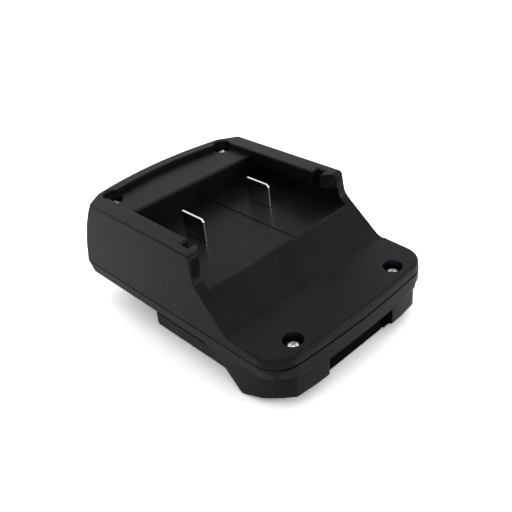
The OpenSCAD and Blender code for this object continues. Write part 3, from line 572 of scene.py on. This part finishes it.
def crossCutter(look):
    # two tapered bars that cut the recess
    cutter = bmesh.new()
    tall = look["tall"]
    wide, thin = look["head"] * look["recessWide"], look["head"] * look["recessThin"]
    levels = ((tall - tall * look["recessDeep"], *look["recessFloor"]),
              (tall * look["recessOver"], *look["recessMouth"]))
    for turn in (0, math.pi / 2):
        corners = [(x * s, y * t, z) for z, s, t in levels
                   for x, y in ((-wide, -thin), (wide, -thin), (wide, thin), (-wide, thin))]
        made = [cutter.verts.new(Matrix.Rotation(turn, 3, "Z") @ Vector(p)) for p in corners]
        for loop in ((3, 2, 1, 0), (4, 5, 6, 7), (0, 1, 5, 4), (1, 2, 6, 5), (2, 3, 7, 6), (3, 0, 4, 7)):
            cutter.faces.new([made[k] for k in loop])
    return cutter


def screwShape(name, look):
    # one turned screw on its seat: threaded shank below, domed head with a cross recess above
    shape = bmesh.new()
    sides = look["sides"]
    angles = [math.tau * k / sides for k in range(sides)]
    steps = int(look["length"] / look["pitch"] * look["turnSteps"])
    heights = [-look["length"] * (1 - k / steps) for k in range(steps + 1)]
    rows = [[(threadRadius(look, z, a), a, z) for a in angles] for z in heights]
    rows += [[(share * look["head"] / 2, a, z * look["tall"]) for a in angles]
             for share, z in look["dome"]]
    rings = [[shape.verts.new((r * math.cos(a), r * math.sin(a), z)) for r, a, z in row] for row in rows]
    for low, high in zip(rings, rings[1:]):
        for k in range(sides):
            shape.faces.new((low[k], low[(k + 1) % sides], high[(k + 1) % sides], high[k]))
    shape.faces.new(rings[0][::-1])
    shape.faces.new(rings[-1])
    screw = newObject(name, meshOf(name, shape))
    recess = newObject(name + "Recess", meshOf(name + "Recess", crossCutter(look)))
    cut = screw.modifiers.new("recess", "BOOLEAN")
    cut.operation = "DIFFERENCE"
    cut.solver = "EXACT"
    cut.use_self = True
    cut.object = recess
    mesh = plainMesh(screw)
    bpy.data.objects.remove(recess)
    for polygon in mesh.polygons:
        polygon.use_smooth = True
    mesh.set_sharp_from_angle(angle=math.radians(look["crease"]))
    return newObject(name, mesh)


housingScrew = {
    "shank": 2.95 * mm, "point": 1.6 * mm, "pitch": 1.1 * mm, "thread": 0.32 * mm, "turnSteps": 6,
    "flank": 1.6, "tip": 0.25, "head": 5.2 * mm, "tall": 2 * mm, "sides": 28, "crease": 38,
    "dome": [(0.94, 0.0), (1.0, 0.1), (1.0, 0.5), (0.97, 0.66), (0.88, 0.82), (0.72, 0.93),
             (0.5, 0.985), (0.25, 1.0)],  # shares of the head's radius and height
    "recessWide": 0.3, "recessThin": 0.07, "recessDeep": 0.55, "recessOver": 1.1,  # shares of the head
    "recessFloor": (0.45, 0.75), "recessMouth": (1.0, 1.1)}
smallScrew = dict(housingScrew, shank=2.15 * mm, point=1.2 * mm, pitch=0.85 * mm, thread=0.24 * mm,
                  head=4 * mm, tall=1.5 * mm, sides=20)
screwSets = [  # piece, CAD node, screw, length in mm, tilt, seats of the heads in mm
    ("housingScrews", "housing_screws", housingScrew, 11, 0,
     [(29.4, 45.6, 42.7), (-29.4, 45.6, 42.7), (27.4, -49.4, 19.3), (-27.4, -49.4, 19.3)]),
    ("bladeClampScrews", "blade_clamp_screws", smallScrew, 6.7, math.pi,
     [(25.25, 10.2, 26.6), (-25.25, 10.2, 26.6)]),
    ("terminalBlockScrews", "terminal_block_screws", smallScrew, 8.5, 0,
     [(26.05, 10.1, 12.4), (-26.05, 10.1, 12.4)]),
    ("latchRetainerScrews", "latch_retainer_screws", smallScrew, 8, 0,
     [(26, -42.5, 13.2), (-26, -42.5, 13.2)])]
setTree = screwTree()
for seed, (name, node, look, length, tilt, seats) in enumerate(screwSets):
    template = screwShape(name + "Shape", dict(look, length=length * mm))
    points = bpy.data.meshes.new(name + "Seats")
    points.from_pydata([Vector(seat) * mm for seat in seats], [], [])
    values = {"Screw": template, "Tilt": float(tilt), "Seed": seed, "Material": zincSteel}
    mesh = grownMesh(name, setTree, values, points)
    bpy.data.objects.remove(template)
    addPiece(name, mesh, "housing", "steel", node)
print("screws set")


def springTree(look):
    tree, flow, given = startTree("coilSpring", [
        ("Turns", "Float"), ("Radius", "Float"), ("Wire", "Float"), ("Low", "Float"), ("High", "Float"),
        ("Across", "Float"), ("Along", "Float"), ("Reverse", "Bool"), ("Material", "Material")])
    coil = flow.node("GeometryNodeCurveSpiral", {}, {
        "Resolution": look["turnPoints"], "Rotations": given["Turns"], "Start Radius": given["Radius"],
        "End Radius": given["Radius"], "Height": 0.0, "Reverse": given["Reverse"]})
    share = flow.node("GeometryNodeSplineParameter")

    def climb(start, end, height):
        return flow.node("ShaderNodeMapRange", {}, {
            "Value": share, "From Min": start, "From Max": end, "To Max": height})

    closed = 1.0 / given["Turns"]  # one closed turn at each end
    step = given["Wire"] * look["closedStep"]
    low = climb(0.0, closed, step)
    high = climb(1.0 - closed, 1.0, step)
    rise = climb(closed, 1.0 - closed, given["High"] - given["Low"] - given["Wire"] - 2.0 * step)
    lift = given["Low"] + given["Wire"] * 0.5 + low + rise + high
    move = flow.node("ShaderNodeCombineXYZ", {}, {"X": given["Across"], "Y": given["Along"], "Z": lift})
    path = flow.node("GeometryNodeSetPosition", {}, {"Geometry": coil, "Offset": move})
    closeTree(flow, sweptTube(flow, path, given["Wire"], look["sides"]), given["Material"])
    return tree


latchSpring = {"Turns": 6.0, "Radius": 2.7 * mm, "Wire": 0.7 * mm, "Low": 10.42 * mm, "High": 19.58 * mm,
               "Along": -42.5 * mm, "Material": springSteel, "turnPoints": 28, "closedStep": 1.08,
               "sides": 12, "apart": 11 * mm, "seat": 19.6 * mm,
               "length": 9.2, "stroke": 3.5}  # both in mm
# the share of its length that is left when the button is pressed home
springShare = (latchSpring["length"] - latchSpring["stroke"]) / latchSpring["length"]
coilTree = springTree(latchSpring)
for name, node, side in (("rightLatchSpring", "right_latch_spring", 1),
                         ("leftLatchSpring", "left_latch_spring", -1)):
    across = side * latchSpring["apart"]
    mesh = grownMesh(name, coilTree, dict(latchSpring, Across=across, Reverse=side < 0))
    smoothTube(mesh)
    piece = addPiece(name, mesh, "housing", "spring_steel", node)
    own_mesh(piece)
print("springs wound")


def wireTree(look):
    tree, flow, given = startTree("sweptWire", [
        ("Geometry", "Geometry"), ("Diameter", "Float"), ("Step", "Float"), ("Material", "Material")])
    line = flow.node("GeometryNodeMeshToCurve", {}, {"Mesh": given["Geometry"]})
    smooth = flow.node("GeometryNodeCurveSplineType", {"spline_type": "CATMULL_ROM"}, {"Curve": line})
    even = flow.node("GeometryNodeResampleCurve", {"mode": "LENGTH"}, {
        "Curve": smooth, "Length": given["Step"]})
    closeTree(flow, sweptTube(flow, even, given["Diameter"], look["sides"]), given["Material"])
    return tree


wireRoute = {
    "Diameter": 2.6 * mm, "Step": 0.5 * mm, "sides": 16,
    "points": [  # from the blade to the clip, mm
        (19.025, 10.2, 25.7), (19.025, 10.2, 23.2), (19.025, 10.2, 19.7), (19.425, 7.5, 17.0),
        (19.9, -0.4, 15.4), (19.9, -8.4, 13.6), (19.5, -11.4, 9.8), (18.9, -8.9, 6.6),
        (18.9, -4.4, 6.2), (18.9, -1.4, 6.2), (18.9, 1.6, 6.2)]}
runTree = wireTree(wireRoute)
for name, node, side, finish, materialSlot in (
        ("positiveWire", "positive_wire", 1, redJacket, "red_insulation"),
        ("negativeWire", "negative_wire", -1, blackJacket, "black_insulation")):
    route = [Vector((side * x, y, z)) * mm for x, y, z in wireRoute["points"]]
    line = bpy.data.meshes.new(name + "Route")
    line.from_pydata(route, [(k, k + 1) for k in range(len(route) - 1)], [])
    mesh = grownMesh(name, runTree, dict(wireRoute, Material=finish), line)
    smoothTube(mesh)
    addPiece(name, mesh, "housing", materialSlot, node)
print("wires run")


studio = {"floorSize": 6.0, "floorLow": -0.03 * mm, "floorTone": (0.92, 0.92, 0.92, 1),
          "floorCloud": 60 * mm, "floorDim": 0.985, "floorMirrored": (1, 1, 1, 1),
          "floorSeen": (1.6, 1.6, 1.6, 1),  # white to the camera, with a tight shadow
          "sky": 0.92, "skySeen": 1.0, "aim": (0, 0, 0.02),
          "lamps": [  # name, place, width, power
              ("overhead", (0.0, 0.2, 0.9), 0.9, 1.1), ("frontRight", (0.55, -0.75, 0.32), 0.4, 2.0)]}


def seenDirectly(flow):
    # 1 for the camera's own rays, and 1 for what metal and gloss mirror
    direct, glossy, through = (flow.node("ShaderNodeLightPath", out=k)
                               for k in ("Is Camera Ray", "Is Glossy Ray", "Is Transmission Ray"))
    return direct, flow.maths("MAXIMUM", glossy, through)


def paleFloor(look):
    material, flow, place = startMaterial("paleFloor")
    dim = tuple(look["floorDim"] * c for c in look["floorTone"])
    tone = mixColour(flow, noise(flow, place, look["floorCloud"]), look["floorTone"], dim)
    direct, mirrored = seenDirectly(flow)
    tone = mixColour(flow, mirrored, tone, look["floorMirrored"])
    tone = mixColour(flow, direct, tone, look["floorSeen"])
    matt = flow.node("ShaderNodeBsdfDiffuse", {}, {"Color": tone})
    clear = flow.node("ShaderNodeBsdfTransparent")
    below = flow.node("ShaderNodeNewGeometry", out="Backfacing")  # clear when looked at from below
    oneSided = flow.node("ShaderNodeMixShader", {}, {0: below, 1: matt, 2: clear})
    flow.node("ShaderNodeOutputMaterial", {}, {"Surface": oneSided})
    return material


def buildFloor(look):
    size, low = look["floorSize"], look["floorLow"]
    corners = [(x * size, y * size, low) for x, y in ((-1, -1), (1, -1), (1, 1), (-1, 1))]
    mesh = bpy.data.meshes.new("floor")
    mesh.from_pydata(corners, [], [(0, 1, 2, 3)])
    mesh.materials.append(paleFloor(look))
    floor = newObject("floor", mesh)


def buildLight(look):
    world = bpy.data.worlds.new("studioSky")
    scene.world = world
    world.use_nodes = True
    world.node_tree.nodes.clear()
    flow = Flow(world.node_tree)
    light, white = (flow.node("ShaderNodeBackground", {}, {"Color": (1, 1, 1, 1), "Strength": look[key]})
                    for key in ("sky", "skySeen"))
    seen = flow.maths("MAXIMUM", *seenDirectly(flow))
    both = flow.node("ShaderNodeMixShader", {}, {0: seen, 1: light, 2: white})
    flow.node("ShaderNodeOutputWorld", {}, {"Surface": both})
    for name, place, width, power in look["lamps"]:
        lamp = bpy.data.lights.new(name, "AREA")
        lamp.shape = "DISK"
        lamp.size = width
        lamp.energy = power
        holder = newObject(name, lamp)
        holder.location = place
        holder.rotation_euler = (Vector(look["aim"]) - Vector(place)).to_track_quat("-Z", "Y").to_euler()


viewpoint = {"place": (-0.146420, -0.172927, 0.168664), "turn": -40.8585, "height": 32.9460,
             "roll": -6.1292, "lens": 47.275, "sensor": 36, "nearest": 0.01}


def buildCamera(look):
    turn, height, roll = (math.radians(look[key]) for key in ("turn", "height", "roll"))
    flat = math.cos(height)
    back = Vector((math.sin(turn) * flat, -math.cos(turn) * flat, math.sin(height)))
    right = Vector((math.cos(turn), math.sin(turn), 0))
    up = back.cross(right)
    across = math.cos(roll) * right + math.sin(roll) * up
    upward = math.cos(roll) * up - math.sin(roll) * right
    data = bpy.data.cameras.new("viewpoint")
    data.sensor_width = look["sensor"]
    data.lens = look["lens"]
    data.clip_start = look["nearest"]
    camera = newObject("viewpoint", data)
    camera.matrix_world = Matrix((across, upward, back)).transposed().to_4x4()
    camera.location = look["place"]
    scene.camera = camera


buildFloor(studio)
buildLight(studio)
buildCamera(viewpoint)
scene.view_settings.view_transform = "Standard"
print("studio and camera set")
